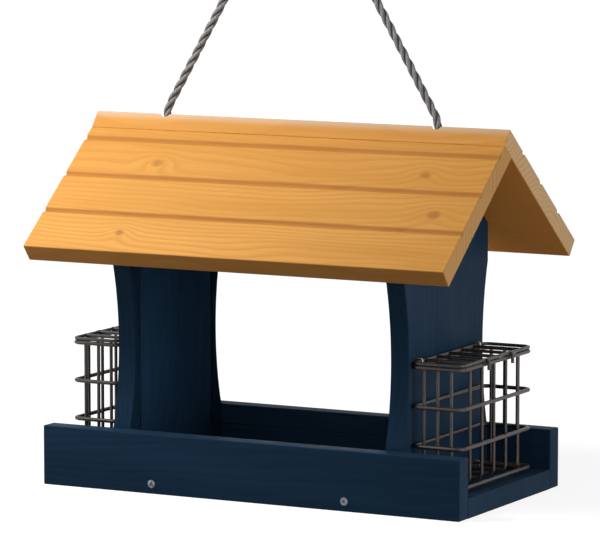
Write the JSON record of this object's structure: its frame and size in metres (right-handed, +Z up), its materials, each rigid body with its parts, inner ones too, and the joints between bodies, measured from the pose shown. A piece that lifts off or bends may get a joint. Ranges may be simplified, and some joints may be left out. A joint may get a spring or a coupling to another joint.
{
  "type": "hopper bird feeder",
  "caption": "Hanging hopper bird feeder: railed wooden tray, clear-windowed seed hopper, grooved gable roof that slides up its rope, and lidded wire suet cages on the end walls.",
  "frame": {"origin": "middle of the tray's underside, which is the bottom centre of the feeder without its rope", "axes": "+X along the ridge to the right, -Y out of the front window, +Z up"},
  "size_m": [0.44, 0.2866, 0.6114],
  "materials": {
    "tray_paint": "pine in satin navy paint, its grain just showing",
    "wall_paint": "pine in satin navy paint, its grain just showing",
    "roof_wood": "golden oiled wood with darker routed grooves",
    "window_acrylic": "clear acrylic sheet",
    "cage_wire": "welded wire in dark brown vinyl coat",
    "staple_steel": "zinc-plated steel wire",
    "screw_steel": "zinc-plated steel",
    "rope_cord": "three-strand twisted grey polypropylene rope",
    "stop_aluminium": "crimped aluminium sleeve",
    "ring_steel": "welded steel wire ring"
  },
  "bodies": {
    "root": {"floor_board": "tray_paint", "front_rail": "tray_paint", "back_rail": "tray_paint", "rail_screws": "screw_steel", "left_end_wall": "wall_paint", "right_end_wall": "wall_paint", "wall_screws": "screw_steel", "front_window": "window_acrylic", "back_window": "window_acrylic", "left_cage": "cage_wire", "right_cage": "cage_wire", "left_cage_staples": "staple_steel", "right_cage_staples": "staple_steel", "hanging_rope": "rope_cord", "left_rope_end": "rope_cord", "right_rope_end": "rope_cord", "left_rope_stop": "stop_aluminium", "right_rope_stop": "stop_aluminium", "hanging_ring": "ring_steel"},
    "roof": {"front_roof_board": "roof_wood", "back_roof_board": "roof_wood", "ridge_screws": "screw_steel"},
    "left_lid": {"left_cage_lid": "cage_wire"},
    "right_lid": {"right_cage_lid": "cage_wire"}
  },
  "joints": [
    {"name": "roof_lift", "type": "slide", "parent": "root", "child": "roof", "axis": [0, 0, 1], "range_m": [0, 0.1], "deforming": ["hanging_rope", "left_rope_end", "right_rope_end"]},
    {"name": "left_lid_hinge", "type": "hinge", "parent": "root", "child": "left_lid", "pos_m": [-0.1562, 0, 0.1375], "axis": [0, 1, 0], "range_deg": [0, 90]},
    {"name": "right_lid_hinge", "type": "hinge", "parent": "root", "child": "right_lid", "pos_m": [0.1562, 0, 0.1375], "axis": [0, -1, 0], "range_deg": [0, 90]}
  ]
}
